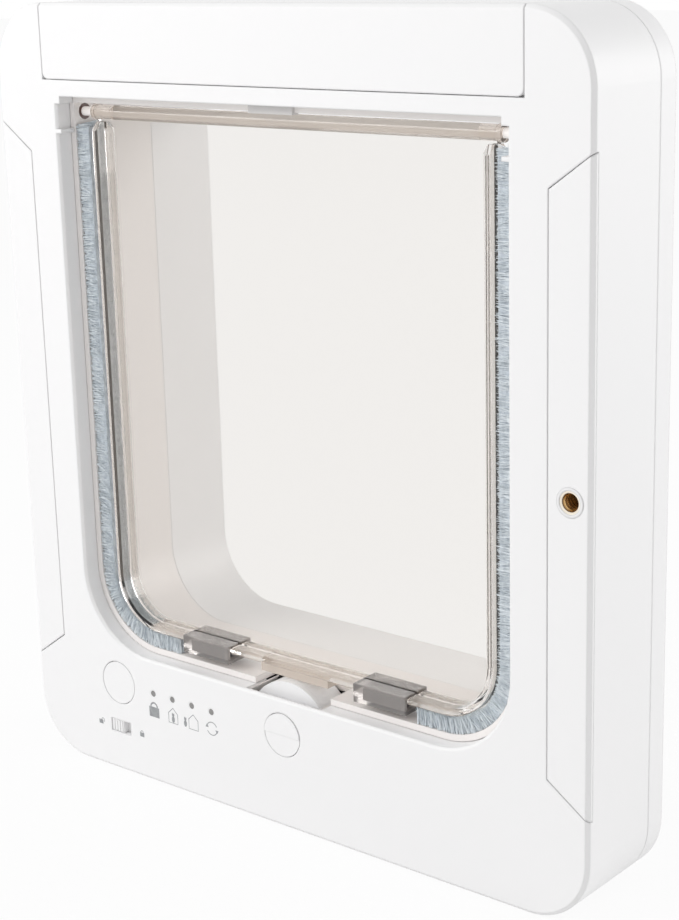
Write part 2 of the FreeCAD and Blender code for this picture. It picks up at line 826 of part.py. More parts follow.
def flap():
    """The moulded flap: a pane in a deep rim, its hinge bar on top and a lock tab below."""
    body = new_body("flap")
    rim = rounded(sketch_at(body, "rim", "rim_front"), "flap_half", "flap_bottom", "rim_top",
                  "flap_radius")
    pad(body, rim, "rim_depth")
    for name, depth in (("front", "rim_front"), ("back", "pane_front + pane_thickness")):
        tray = rounded(sketch_at(body, f"tray_{name}", depth), "flap_half - rim_thickness",
                       "flap_bottom + rim_thickness", "rim_top + 1", "flap_radius - rim_thickness")
        pocket(body, tray, "(rim_depth - pane_thickness) / 2")
    rim_planes = [value("rim_front"), value("rim_front + rim_depth")]
    top = value("rim_top")
    chamfer(body, "rim_end_slope", lambda edge: any(ends_at(edge, plane) for plane in rim_planes)
            and abs(edge.BoundBox.ZMin - top) < FLAT)
    chamfer(body, "rim_chamfer", lambda edge: any(ends_at(edge, plane) for plane in rim_planes)
            and edge.BoundBox.ZMin < top - value("rim_end_slope") - FLAT)
    pane = rectangle(sketch_at(body, "upper_pane", "pane_front"), "-flap_half", "flap_half",
                     "rim_top - 1", "hinge_height")
    pad(body, pane, "pane_thickness")
    tab = rectangle(sketch_at(body, "tab", "tab_front"), "-tab_half", "tab_half", "tab_bottom",
                    "flap_bottom + rim_thickness / 2")
    pad(body, tab, "tab_depth")
    notches = sketch_at(body, "holder_notches", "0")
    for sign in SIDES.values():
        rectangle(notches, f"{sign} * holder_offset - holder_width / 2",
                  f"{sign} * holder_offset + holder_width / 2", "flap_bottom - 1", "holder_top")
    pocket(body, notches, "seam_depth")
    turned("hinge_bar", ("0", "front_plane + hinge_depth", "hinge_height"), [
        ("0", "-bar_half - end_disc_width"), ("end_disc_radius", "-bar_half - end_disc_width"),
        ("end_disc_radius", "-bar_half"), ("bar_radius", "-bar_half"),
        ("bar_radius", "bar_half"), ("end_disc_radius", "bar_half"),
        ("end_disc_radius", "bar_half + end_disc_width"), ("0", "bar_half + end_disc_width")],
        along="X", body=body)
    bores = body.newObject("Sketcher::SketchObject", "pin_bores")
    bores.AttachmentSupport = [(plane_of(body, "XY_Plane"), "")]
    bores.MapMode = "FlatFace"
    bores.setExpression("AttachmentOffset.Base.y", named("front_plane + hinge_depth"))
    bores.setExpression("AttachmentOffset.Base.z", named("hinge_height"))
    for sign in SIDES.values():
        polygon(bores, [(f"{sign} * (bar_half - pin_seat)", "0"),
                        (f"{sign} * (bar_half + end_disc_width + 1)", "0"),
                        (f"{sign} * (bar_half + end_disc_width + 1)", "pin_radius"),
                        (f"{sign} * (bar_half - pin_seat)", "pin_radius")])
    bore = body.newObject("PartDesign::Groove", "Groove_pin_bores")
    bore.Profile = bores
    bore.ReferenceAxis = (bores, ["H_Axis"])
    bore.Angle = 360
    doc.recompute()


def hinge_pins():
    """A steel pin in each end of the hinge bar."""
    for side, sign in SIDES.items():
        turned(f"{side}_hinge_pin", ("0", "front_plane + hinge_depth", "hinge_height"), [
            ("0", f"{sign} * (bar_half - pin_seat)"), ("pin_radius", f"{sign} * (bar_half - pin_seat)"),
            ("pin_radius", f"{sign} * (frame_half - 0.2)"), ("0", f"{sign} * (frame_half - 0.2)")],
            along="X")


def magnet_holders():
    """A smoked box at each side of the lock tab, open at its right-hand end, with its magnet."""
    for side, sign in SIDES.items():
        left = f"{sign} * holder_offset - holder_width / 2"
        right = f"{sign} * holder_offset + holder_width / 2"
        far = "holder_front + holder_depth"
        shell = block(f"{side}_holder_block", left, right, "holder_front", far,
                      "holder_bottom", "holder_top")
        well = block(f"{side}_holder_well", f"{left} + 3 * holder_wall", f"{right} + 1",
                     "holder_front + holder_wall", f"{far} - holder_wall",
                     "holder_bottom + holder_wall", "holder_top - holder_wall")
        node(f"{side}_magnet_holder", cut(f"{side}_holder", shell, well))
        magnet = block(f"{side}_magnet_block", f"{left} + 3 * holder_wall", f"{right} - 2 * holder_wall",
                       "holder_front + holder_wall + magnet_gap", f"{far} - holder_wall - magnet_gap",
                       "holder_bottom + holder_wall", "holder_top - holder_wall - magnet_gap")
        node(f"{side}_flap_magnet", magnet)


def sill_magnets():
    """The magnets under the sill that the flap's magnets come to rest over."""
    for side, sign in SIDES.items():
        magnet = block(f"{side}_sill_block", f"{sign} * holder_offset - sill_magnet_width / 2",
                       f"{sign} * holder_offset + sill_magnet_width / 2",
                       "collar_depth + magnet_gap", "collar_depth + magnet_gap + sill_magnet_depth",
                       "frame_bottom - magnet_gap - sill_magnet_height", "frame_bottom - magnet_gap")
        node(f"{side}_sill_magnet", magnet)


def brush_seals():
    """A J-shaped strip of pile at each side: down the tunnel wall and round its lower corner."""
    for side, sign in SIDES.items():
        body = new_body(f"{side}_brush_seal")
        outer = rounded(sketch_at(body, "backing", "frame_setback + brush_inset"), "tunnel_half",
                        "tunnel_bottom", "brush_top", "tunnel_radius")
        pad(body, outer, "brush_depth")
        inner = rounded(sketch_at(body, "tips", "frame_setback"), "tunnel_half - brush_pile",
                        "tunnel_bottom + brush_low_pile", "brush_top + 1",
                        "tunnel_radius - brush_pile")
        pocket(body, inner, "housing_depth")
        rest = rectangle(sketch_at(body, "rest", "frame_setback"), f"{-sign} * (tunnel_half + 1)",
                         f"{sign} * brush_end", "tunnel_bottom - 1", "brush_top + 1")
        pocket(body, rest, "housing_depth")


# Covers and batteries

def battery_cover():
    """The cover over the battery bay: a front leg and a top leg, moulded in one."""
    body = new_body("battery_cover")
    leg = rounded(sketch_at(body, "front_leg", "0"), "cover_half", "cover_bottom", "housing_height",
                  "cover_radius")
    pad(body, leg, "cover_thickness")
    top = rectangle(sketch_at(body, "top_leg", "0"), "-cover_half", "cover_half",
                    "housing_height - cover_thickness", "housing_height")
    pad(body, top, "cover_reach")
    top_edge = value("housing_height")
    chamfer(body, "edge_chamfer", lambda edge: ends_at(edge, "0")
           and abs(edge.BoundBox.ZMin - top_edge) < FLAT)


def side_covers():
    """The strip at each side of the opening, over the fixing points."""
    for side, sign in SIDES.items():
        body = new_body(f"{side}_side_cover")
        pad(body, side_outline(sketch_at(body, "strip", "0"), sign), "side_thickness")
        outer = sign * value("half_width")
        chamfer(body, "edge_chamfer", lambda edge: ends_at(edge, "0")
               and abs(edge.BoundBox.XMin - outer) < FLAT and abs(edge.BoundBox.XMax - outer) < FLAT)
        if side == "right":
            hole = circle(sketch_at(body, "insert_hole", "0"), "insert_x", "insert_height",
                          "insert_radius + cover_gap")
            pocket(body, hole, "side_thickness + 1")


def battery_tray():
    """The tray on the bay's floor, with a trough for each of the cells."""
    half = "(cover_half - cover_land - cell_gap)"
    tray = block("tray_block", f"-{half}", half, "cover_thickness + cell_gap", "bay_back - tray_gap",
                 "bay_floor", "bay_floor + tray_height")
    wells = []
    for i, (x, row) in enumerate(cell_places()):
        reach = "(cell_length + cell_nub + 2 * contact_thickness + cell_gap) / 2"
        wells.append(rod(f"trough_{i}", f"{x} - {reach}", f"{x} + {reach}", row,
                         "tray_floor + cell_radius", "cell_radius + cell_gap / 2"))
    tray = cut("tray_cut", tray, fused("troughs", wells))
    node("battery_tray", tray)


def cell_places():
    """The middle of each cell: its X, and the depth of its row."""
    middle = "(cover_thickness + cell_gap + bay_back - tray_gap) / 2"
    for sign in SIDES.values():
        for row in (-1, 1):
            yield f"{sign} * cell_offset", f"{middle} + {row} * (cell_radius + cell_gap / 2)"


def batteries():
    """Four AA cells, each with a contact plate at both ends."""
    cells, contacts = [], []
    for i, (x, row) in enumerate(cell_places(), start=1):
        start = f"{x} - (cell_length + cell_nub) / 2"
        can = rod(f"cell_can_{i}", start, f"{start} + cell_length", row, "tray_floor + cell_radius",
                  "cell_radius")
        nub = rod(f"cell_nub_{i}", f"{start} + cell_length", f"{start} + cell_length + cell_nub", row,
                  "tray_floor + cell_radius", "cell_nub_radius", 12)
        cells.append(fused(f"cell_{i}", [can, nub]))
        for end, place_x in (("minus", f"{start} - contact_thickness"),
                             ("plus", f"{start} + cell_length + cell_nub")):
            contacts.append(block(f"contact_{end}_{i}", place_x, f"{place_x} + contact_thickness",
                                  f"{row} - cell_radius / 2", f"{row} + cell_radius / 2",
                                  "tray_floor + tray_wall", "tray_floor + 1.5 * cell_radius"))
    group("battery_cells", cells)
    group("battery_contacts", contacts)


# Fixings

def threaded_inserts():
    """A brass insert in each fixing boss. The right-hand one comes flush with its cover."""
    starts = {"left": "side_thickness", "right": "0"}
    inserts = []
    for side, sign in SIDES.items():
        near, far = starts[side], f"{starts[side]} + insert_length"
        x = f"{sign} * insert_x"
        barrel = drum(f"{side}_barrel", x, "insert_height", "insert_radius", near, far)
        thread = drum(f"{side}_thread", x, "insert_height", "thread_radius", near, far)
        inserts.append(cut(f"{side}_insert", barrel, thread))
    group("threaded_inserts", inserts)


def housing_screws():
    """The four screws that hold the shells together, driven in from the back."""
    screws = []
    for name, x, z in screw_places():
        head = drum(f"head_{name}", x, z, "screw_head_radius * cos(15)", "screw_end - screw_head_height",
                    "screw_end", 12)
        shank = drum(f"shank_{name}", x, z, "screw_radius * cos(30)", "screw_end - screw_length",
                     "screw_end - screw_head_height / 2", 6)
        screws.append(fused(f"screw_{name}", [head, shank]))
    group("housing_screws", screws)


# Controls

def catches(name, x, z, radius, thickness):
    """Two catches, above and below, that hold a round control behind the bezel."""
    return block(name, f"{x} - catch_width / 2", f"{x} + catch_width / 2",
                 f"{thickness} - catch_thickness", thickness, f"{z} - {radius} - catch_overlap",
                 f"{z} + {radius} + catch_overlap")


def mode_button():
    """The round push button, held behind the bezel by its catches."""
    face = drum("button_face", "button_x", "button_height", "button_radius", "0", "button_thickness")
    node("mode_button", fused("button_body", [
        face, catches("button_catches", "button_x", "button_height", "button_radius",
                      "button_thickness")]))


def lock_switch():
    """The small ridged slider in its window, held behind the bezel by its flange."""
    left = "window_x - window_width / 2 + control_gap"
    low, high = "window_height - window_rise / 2", "window_height + window_rise / 2"
    near = "wall + control_gap"
    grip = block("slider_grip", left, f"{left} + slider_width", "slider_inset",
                 f"{near} + catch_thickness / 2", f"{low} + control_gap", f"{high} - control_gap")
    plate = block("slider_plate", f"{left} - slider_left_overlap",
                  f"{left} + slider_width + slider_right_overlap", near, f"{near} + catch_thickness",
                  f"{low} - slider_overlap", f"{high} + slider_overlap")
    ridges = []
    for i in range(4):
        start = f"{left} + ridge_pitch / 2 + {i} * ridge_pitch"
        ridges.append(block(f"ridge_{i}", start, f"{start} + ridge_width", "slider_inset - ridge_height",
                            "slider_inset + ridge_height", f"{low} + 2 * control_gap",
                            f"{high} - 2 * control_gap"))
    node("lock_switch", fused("lock_switch_body", [grip, plate] + ridges))


def status_lamps():
    """The light guides of the four status lamps, and the light sources on the board behind."""
    guides, leds = [], []
    for i, (x, z) in enumerate(lamp_places()):
        guides.append(drum(f"guide_{i}", x, z, "lamp_radius", "0",
                           "board_depth - led_depth - running_gap", 12))
        leds.append(block(f"led_{i}", f"{x} - led_width / 2", f"{x} + led_width / 2",
                          "board_depth - led_depth", "board_depth", f"{z} - led_height / 2",
                          f"{z} + led_height / 2"))
    group("lamp_guides", guides)
    group("status_leds", leds)


def circuit_board():
    """The board behind the controls, with the switches and the controller chip on it."""
    board = block("board_block", "board_left", "board_right", "board_depth", "board_back", "board_low",
                  "board_high")
    holes = [drum(f"board_hole_{i}", x, z, "screw_radius", "board_depth - 1", "board_back + 1", 6)
             for i, (x, z) in enumerate(board_corners())]
    node("circuit_board", cut("board", board, fused("board_holes", holes)))
    group("board_screws", [drum(f"board_screw_{i}", x, z, "board_post_radius", "board_back",
                                "board_back + screw_head_height", 6)
                           for i, (x, z) in enumerate(board_corners())])
    body = block("tact_body", "button_x - switch_size / 2", "button_x + switch_size / 2",
                 "board_depth - switch_height", "board_depth", "button_height - switch_size / 2",
                 "button_height + switch_size / 2")
    plunger = drum("tact_plunger", "button_x", "button_height", "plunger_radius",
                   "button_thickness + button_travel + magnet_gap", "board_depth - switch_height / 2", 6)
    node("button_switch", fused("button_switch_body", [body, plunger]))
    node("slide_switch", block("slide_switch_body", "window_x - slide_switch_width / 2",
                               "window_x + slide_switch_width / 2", "board_depth - slide_switch_height",
                               "board_depth", "window_height - slide_switch_rise / 2",
                               "window_height + slide_switch_rise / 2"))
    left, low = "board_left + chip_offset", "board_low + board_post_inset + chip_size"
    node("controller_chip", block("chip_body", left, f"{left} + chip_size", "board_back",
                                  "board_back + chip_thickness", low, f"{low} + chip_size"))


# The lock

def lock_knob():
    """The knob with its finger step and pointer dimple, and the flatted shaft behind it."""
    face = drum("knob_face", "0", "knob_height", "knob_radius", "0", "knob_thickness")
    catch = catches("knob_catches", "0", "knob_height", "knob_radius", "knob_thickness")
    shaft = drum("knob_shaft", "0", "knob_height", "shaft_radius", "knob_thickness",
                 "bracket_back + shaft_step")
    step = block("knob_step", "-step_half", "step_half", "-1", "step_depth", "knob_height - step_half",
                 "knob_height")
    dimple = drum("knob_dimple", "dimple_inset - knob_radius", "knob_height", "dimple_radius", "-1",
                  "dimple_depth", 12)
    flat = block("shaft_flat_cut", "-shaft_radius", "shaft_radius", "disc_depth", "gear_end",
                 "knob_height + shaft_flat", "knob_height + shaft_radius")
    node("lock_knob", cut("knob", fused("knob_blank", [face, catch, shaft]), step, dimple, flat))


def lug(name, near, far, inner_radius, centre_angle):
    """A sector that stands out to the lug radius, about an angle counted from the top."""
    half = radians(value("lug_angle") / 2)
    middle = radians(centre_angle)
    outer, inner = value("lug_radius"), value(inner_radius)
    arcs = []
    for radius in (outer, inner):
        points = [Vector(radius * sin(middle + turn), 0, radius * cos(middle + turn))
                  for turn in (-half, 0, half)]
        arcs.append(Part.Arc(*points).toShape())
    ends = [Part.makeLine(arcs[0].Vertexes[i].Point, arcs[1].Vertexes[i].Point) for i in (0, -1)]
    wire = Part.Wire(Part.__sortEdges__(arcs + ends))
    shape = Part.Face(wire).extrude(Vector(0, value(f"({far}) - ({near})"), 0))
    thing = doc.addObject("Part::Feature", name)
    thing.Shape = shape
    thing.Placement.Base = Vector(0, value(f"front_plane + {near}"), value("knob_height"))
    return thing


def gear(name, teeth, x, z, phase):
    """A spur gear along Y. Its flanks are the chords of involutes, thinned by the backlash."""
    module = value("gear_module")
    pitch = module * teeth / 2
    base = pitch * cos(radians(20))
    tip, root = pitch + module, pitch - 1.2 * module
    involute = lambda angle: tan(angle) - angle
    half_tooth = pi / (2 * teeth) + involute(radians(20)) - value("gear_backlash") / (2 * pitch)
    flank = [(root, half_tooth), (tip, half_tooth - involute(acos(base / tip)))]
    points = []
    for tooth in range(teeth):
        middle = phase + 2 * pi * tooth / teeth
        shape = [(r, -a) for r, a in flank] + [(r, a) for r, a in reversed(flank)]
        points += [Vector(r * sin(middle + a), 0, r * cos(middle + a)) for r, a in shape]
    face = Part.Face(Part.makePolygon(points + points[:1]))
    thing = doc.addObject("Part::Feature", name)
    thing.Shape = face.extrude(Vector(0, value("gear_thickness"), 0))
    thing.Placement.Base = Vector(value(x), value("front_plane + gear_depth"), value(z))
    return thing


def pinion_place():
    """The motor shaft's place beside the lock shaft, in mesh with the disc's gear."""
    reach = value("gear_pitch_radius + pinion_pitch_radius")
    turn = radians(value("pinion_angle"))
    return f"{reach * cos(turn):.4f}", f"knob_height + {reach * sin(turn):.4f}"


def lock_disc():
    """The disc under the sill, two paddles behind it, and a gear for the motor behind those.

    The disc's plain edge stands up at rest, just under the tab. A quarter turn brings up its
    first lug, a half turn the first paddle, and three quarters a lug and a paddle.
    """
    front, rear = "disc_depth", "disc_depth + disc_span - disc_thickness"
    parts = [drum("disc_plate", "0", "knob_height", "disc_radius", front, f"{front} + disc_thickness"),
             drum("disc_hub", "0", "knob_height", "disc_hub_radius", front, "gear_depth", 12)]
    for name, near, inner, turns in (("lug", front, "disc_radius - 2", (-90, -270)),
                                     ("paddle", rear, "disc_hub_radius - 1", (-180, -270))):
        for turn in turns:
            parts.append(lug(f"{name}_{-turn}", near, f"{near} + disc_thickness", inner, turn))
    parts.append(gear("disc_gear", int(value("gear_teeth")), "0", "knob_height", 0))
    bore = drum("disc_bore", "0", "knob_height", "shaft_radius", "disc_depth - 1", "gear_end + 1")
    key = block("disc_key", "-shaft_radius", "shaft_radius", "disc_depth - 1", "gear_end + 1",
                "knob_height + shaft_flat", "knob_height + shaft_radius")
    node("lock_disc", cut("disc", fused("disc_blank", parts), cut("disc_bore_flat", bore, key)))


def motor_drive():
    """The small gear motor, the pinion on its shaft and the bracket that holds them."""
    x, z = pinion_place()
    turn = radians(value("pinion_angle"))
    teeth = int(value("pinion_teeth"))
    contact = pi / 2 - turn
    gear_phase = (contact * value("gear_teeth") / (2 * pi)) % 1
    phase = contact + pi - (0.5 - gear_phase) * 2 * pi / teeth
    pinion = gear("pinion_ring", teeth, x, z, phase)
    shaft = drum("pinion_shaft", x, z, "motor_shaft_radius", "gear_depth", "bracket_back")
    node("motor_pinion", fused("motor_pinion_body", [pinion, shaft]))
    can = drum("motor_can", x, z, "motor_radius", "bracket_back", "motor_end")
    sides = block("motor_sides", f"{x} - motor_radius", f"{x} + motor_radius", "bracket_back",
                  "motor_end", f"{z} - motor_flat", f"{z} + motor_flat")
    motor = doc.addObject("Part::Common", "motor_body")
    motor.Base = can
    motor.Tool = sides
    node("lock_motor", motor)
    plate = block("bracket_plate", "bracket_left", "bracket_right", "bracket_depth", "bracket_back",
                  "wall", "bracket_top")
    foot = block("bracket_foot_plate", "bracket_left", "bracket_right", "bracket_back",
                 "bracket_back + bracket_foot", "wall", "wall + bracket_thickness")
    bearing = drum("bracket_bearing", "0", "knob_height", "shaft_radius + running_gap",
                   "bracket_depth - 1", "bracket_back + 1")
    passage = drum("bracket_hole", x, z, "motor_shaft_radius + running_gap", "bracket_depth - 1",
                   "bracket_back + 1")
    node("lock_bracket", cut("bracket", fused("bracket_blank", [plate, foot]), bearing, passage))


def antenna_coil():
    """The reader's coil, wound round the outside of the tunnel frame."""
    body = new_body("antenna_coil")
    for name, grow in (("outside", "coil_gap + coil_thickness"), ("inside", "coil_gap")):
        ring = rounded(sketch_at(body, name, "coil_depth"), f"frame_half + {grow}",
                       f"frame_bottom - ({grow})", f"frame_top + {grow}", f"frame_radius + {grow}",
                       f"{grow}")
        (pad if name == "outside" else pocket)(body, ring, "coil_width")


def check_and_export():
    """Stops on any failed object, then writes each node to its own file."""
    doc.recompute()
    failed = [thing.Name for thing in doc.Objects
              if any(state in thing.State for state in ("Invalid", "Error"))]
    if failed:
        raise RuntimeError("failed objects: " + ", ".join(failed))
    for label, thing in nodes.items():
        if thing.Shape.isNull() or not thing.Shape.isValid() or not thing.Shape.Solids:
            raise RuntimeError("bad shape: " + label)
    os.makedirs("parts", exist_ok=True)
    for label, thing in nodes.items():
        thing.Shape.exportStep(f"parts/{label}.step")
        print(f"{label:24s} {len(thing.Shape.Solids)} solid(s) {thing.Shape.Volume / 1000:9.2f} cm3")


fill_sheet()
front_housing()
rear_housing()
tunnel_frame()
hinge_bushes()
hinge_clip()
flap()
hinge_pins()
magnet_holders()
sill_magnets()
brush_seals()
battery_cover()
side_covers()
battery_tray()
batteries()
threaded_inserts()
housing_screws()
mode_button()
lock_switch()
status_lamps()
circuit_board()
lock_knob()
lock_disc()
motor_drive()
antenna_coil()
check_and_export()
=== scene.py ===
# %% [markdown]
# # A cat flap with a microchip reader
#
# This notebook dresses a CAD model of a cat flap for a picture. The CAD gives every rigid piece
# its size and place: a white moulded casing, a clear flap on two pins, smoked magnet holders and
# the controls. What the CAD leaves plain is made here: the pile of the two seals, the threads of
# the brass inserts, the knob's finger step, the printed marks and all of the finishes.
#
# Everything is in metres. X is the width, Y goes through the door and Z is up.

# %% Load the CAD model
import math
import random

import bmesh
import bpy
from mathutils import Matrix, Vector


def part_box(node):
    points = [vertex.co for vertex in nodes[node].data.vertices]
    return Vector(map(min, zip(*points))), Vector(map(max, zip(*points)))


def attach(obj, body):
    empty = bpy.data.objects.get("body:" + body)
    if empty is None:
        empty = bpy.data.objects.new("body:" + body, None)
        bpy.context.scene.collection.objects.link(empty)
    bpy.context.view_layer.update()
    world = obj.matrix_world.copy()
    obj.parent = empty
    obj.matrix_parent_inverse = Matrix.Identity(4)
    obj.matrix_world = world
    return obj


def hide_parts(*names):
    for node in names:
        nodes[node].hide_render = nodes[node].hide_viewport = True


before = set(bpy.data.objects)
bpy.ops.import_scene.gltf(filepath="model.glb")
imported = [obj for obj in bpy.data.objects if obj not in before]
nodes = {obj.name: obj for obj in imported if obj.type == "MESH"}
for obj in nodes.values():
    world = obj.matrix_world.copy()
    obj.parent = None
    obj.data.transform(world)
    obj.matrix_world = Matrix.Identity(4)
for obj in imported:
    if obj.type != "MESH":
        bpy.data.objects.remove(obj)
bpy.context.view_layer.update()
MM = 0.001
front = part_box("front_housing")[0].y
print(f"{len(nodes)} CAD nodes, front face at y = {front:.5f} m")

# %% [markdown]
# ## The camera
#
# The photograph was matched by fitting a camera to the casing's straight edges. The fit gives a
# place and three angles. Turning the angles into the camera's own right, up and back directions
# and writing those as the columns of its matrix avoids any doubt about the order of the turns.

# %% Camera
YAW, PITCH, ROLL = 0.698, 0.267, -0.027
forward = Vector((-math.sin(YAW) * math.cos(PITCH), math.cos(YAW) * math.cos(PITCH), -math.sin(PITCH)))
level = Vector((math.cos(YAW), math.sin(YAW), 0))
upright = level.cross(forward)
right = math.cos(ROLL) * level + math.sin(ROLL) * upright
up = math.cos(ROLL) * upright - math.sin(ROLL) * level

lens = bpy.data.cameras.new("camera")
lens.lens, lens.sensor_width = 75.02, 36
lens.clip_start, lens.clip_end = 0.01, 20
camera = bpy.data.objects.new("camera", lens)
bpy.context.scene.collection.objects.link(camera)
turn = Matrix((right, up, -forward)).transposed().to_4x4()
camera.matrix_world = Matrix.Translation((0.416082, front - 0.460852, 0.304053)) @ turn
bpy.context.scene.camera = camera
print("camera at", tuple(round(v, 4) for v in camera.location))


# %% [markdown]
# ## A small language for materials
#
# A material in Blender is a graph of nodes. Long graphs are easier to read as sums, so one small
# class stands for the number on a wire, and adding or multiplying two of them adds a Math node.
# Every other node comes from one method of the recipe: its type, its settings, and what goes
# into its sockets.

# %% Shader arithmetic
class Wire:
    """A value on its way through a material's nodes."""

    def __init__(self, recipe, socket):
        self.recipe, self.socket = recipe, socket

    def maths(self, operation, first, second):
        return self.recipe.node("ShaderNodeMath", {"operation": operation}, {0: first, 1: second})

    def __add__(self, other):
        return self.maths("ADD", self, other)

    def __mul__(self, other):
        return self.maths("MULTIPLY", self, other)

    def __sub__(self, other):
        return self.maths("SUBTRACT", self, other)

    def __rsub__(self, other):
        return self.maths("SUBTRACT", other, self)

    def __or__(self, other):
        return self.maths("MAXIMUM", self, other)

    def held(self):
        """The same value, kept between 0 and 1."""
        return self.recipe.node("ShaderNodeClamp", {}, {"Value": self})

    __radd__, __rmul__ = __add__, __mul__


class Recipe:
    """A new material, with the means to fill its graph."""

    def __init__(self, name):
        self.material = bpy.data.materials.new(name)
        self.material.use_nodes = True
        self.tree = self.material.node_tree
        self.tree.nodes.clear()
        self.output = self.tree.nodes.new("ShaderNodeOutputMaterial")

    def node(self, kind, settings=None, inputs=None, output=0):
        made = self.tree.nodes.new(kind)
        for name, setting in (settings or {}).items():
            if name == "stops":
                ramp = made.color_ramp
                while len(ramp.elements) < len(setting):
                    ramp.elements.new(0.5)
                for element, (place, colour) in zip(ramp.elements, setting):
                    element.position, element.color = place, (*colour, 1)
            else:
                setattr(made, name, setting)
        for name, source in (inputs or {}).items():
            if isinstance(source, Wire):
                self.tree.links.new(source.socket, made.inputs[name])
            else:
                made.inputs[name].default_value = source
        return Wire(self, made.outputs[output])

    def place(self, scale=(1, 1, 1)):
        """The point on the piece, in metres, stretched along each axis."""
        point = self.node("ShaderNodeTexCoord", output="Object")
        return self.node("ShaderNodeMapping", {}, {"Vector": point, "Scale": scale})

    def noise(self, point, scale, detail=3.0, roughness=0.5):
        return self.node("ShaderNodeTexNoise", {}, {
            "Vector": point, "Scale": scale, "Detail": detail, "Roughness": roughness})

    def soft_edges(self, radius):
        """The surface's own direction, turned gradually within a radius of each edge."""
        return self.node("ShaderNodeBevel", {"samples": 6}, {"Radius": radius})

    def bump(self, height, strength, distance, over=None):
        inputs = {"Height": height, "Strength": strength, "Distance": distance}
        return self.node("ShaderNodeBump", {}, inputs | ({"Normal": over} if over else {}))

    def shader(self, **inputs):
        sockets = {name.replace("_", " "): source for name, source in inputs.items()}
        return self.node("ShaderNodeBsdfPrincipled", {}, sockets)

    def blend(self, share, first, second):
        """The first shader where the share is 0, and the second where it is 1."""
        return self.node("ShaderNodeMixShader", {}, {0: share, 1: first, 2: second})

    def cover_with(self, surface):
        self.tree.links.new(surface.socket, self.output.inputs["Surface"])
        return self.material

    def finish(self, **inputs):
        return self.cover_with(self.shader(**inputs))


# %% [markdown]
# ## White moulded plastic
#
# The casing is white ABS with the faint grain of an etched mould. The grain is far too fine to
# model, so a small noise goes to Bump. A second, broad noise varies the roughness a little,
# because a large white face with one even gloss looks like card. A mould never leaves a sharp
# edge, and the Bevel node shades each CAD edge as a small round without one more face.

# %% White plastic
def white_plastic(name, colour, roughness=0.42, edge=0.9):
    recipe = Recipe(name)
    point = recipe.place()
    grain = recipe.noise(point, 1500.0, 2.0)
    haze = recipe.noise(point, 22.0, 2.0)
    return recipe.finish(
        Base_Color=(*colour, 1), Roughness=haze * 0.10 + (roughness - 0.05), IOR=1.5,
        Normal=recipe.bump(grain, 0.10, 0.0001, recipe.soft_edges(edge * MM)))


casing_white = white_plastic("casing_white", (0.90, 0.896, 0.899))
button_white = white_plastic("button_white", (0.90, 0.896, 0.899), 0.36, 0.25)
tunnel_white = white_plastic("tunnel_white", (0.90, 0.865, 0.845), 0.38, 0.4)
for node in ("front_housing", "rear_housing", "battery_cover", "left_side_cover", "right_side_cover"):
    nodes[node].data.materials.clear()
    nodes[node].data.materials.append(casing_white)
for node in ("mode_button", "lock_knob", "lock_disc", "lock_switch"):
    nodes[node].data.materials.clear()
    nodes[node].data.materials.append(button_white)
nodes["tunnel_frame"].data.materials.clear()
nodes["tunnel_frame"].data.materials.append(tunnel_white)
print("white plastics on 10 nodes")


# %% [markdown]
# ## Clear and smoked plastic
#
# The flap is moulded in clear plastic with a faint warm tint. Clear plastic lets light through to
# what lies behind it, but a path tracer's shadow rays stop at it, so for those rays alone most of
# the shader is made transparent. The flap's lower rim and its hinge bar are thick. The lower rim,
# and a little the side rims, are less clear and tan. Across the middle of the hinge bar a tan band
# is painted shade, with clear strips above and below it. The magnet holders are of the same
# plastic with a smoke-grey dye.

# %% Clear plastic
LET_BY = 0.85


def let_light_by(recipe, surface, tint):
    """Lets most of the lamps' light pass, so that what lies behind isn't in full shadow."""
    rays = recipe.node("ShaderNodeLightPath", output="Is Shadow Ray")
    open_way = recipe.node("ShaderNodeBsdfTransparent", {}, {"Color": (*tint, 1)})
    return recipe.blend(rays * LET_BY, surface, open_way)


def clear_shader(recipe, tint, roughness, clear):
    ripple = recipe.noise(recipe.place(), 60.0, 1.0)
    return recipe.shader(Base_Color=(*tint, 1), Roughness=ripple * 0.02 + roughness,
                         Transmission_Weight=clear, IOR=1.49)


def clear_plastic(name, tint, roughness, clear=1.0):
    recipe = Recipe(name)
    return recipe.cover_with(let_light_by(recipe, clear_shader(recipe, tint, roughness, clear), tint))


RIM_TOP, RIM_SIDE = 57.8 * MM, 84.9 * MM
BAR_LOW, BAR_HIGH = 244.7 * MM, 247.4 * MM
PANE_TINT, RIM_TAN_AND_BAR_SHADE = (0.872, 0.853, 0.830), (0.66, 0.585, 0.52)
flap_recipe = Recipe("flap_clear")
height = flap_recipe.node("ShaderNodeSeparateXYZ", {}, {"Vector": flap_recipe.place()}, output="Z")
across = flap_recipe.node("ShaderNodeSeparateXYZ", {}, {"Vector": flap_recipe.place()}, output="X")
offset = flap_recipe.node("ShaderNodeMath", {"operation": "ABSOLUTE"}, {0: across})
rim_share = ((RIM_TOP - height) * 1500).held() | ((offset - RIM_SIDE) * 3000).held() * 0.3
# Painted shade: a tan band across the middle of the hinge bar.
bar_shade_band = ((height - BAR_LOW) * 2500).held() * ((BAR_HIGH - height) * 2500).held() * 0.9
pane = clear_shader(flap_recipe, PANE_TINT, 0.02, 1.0)
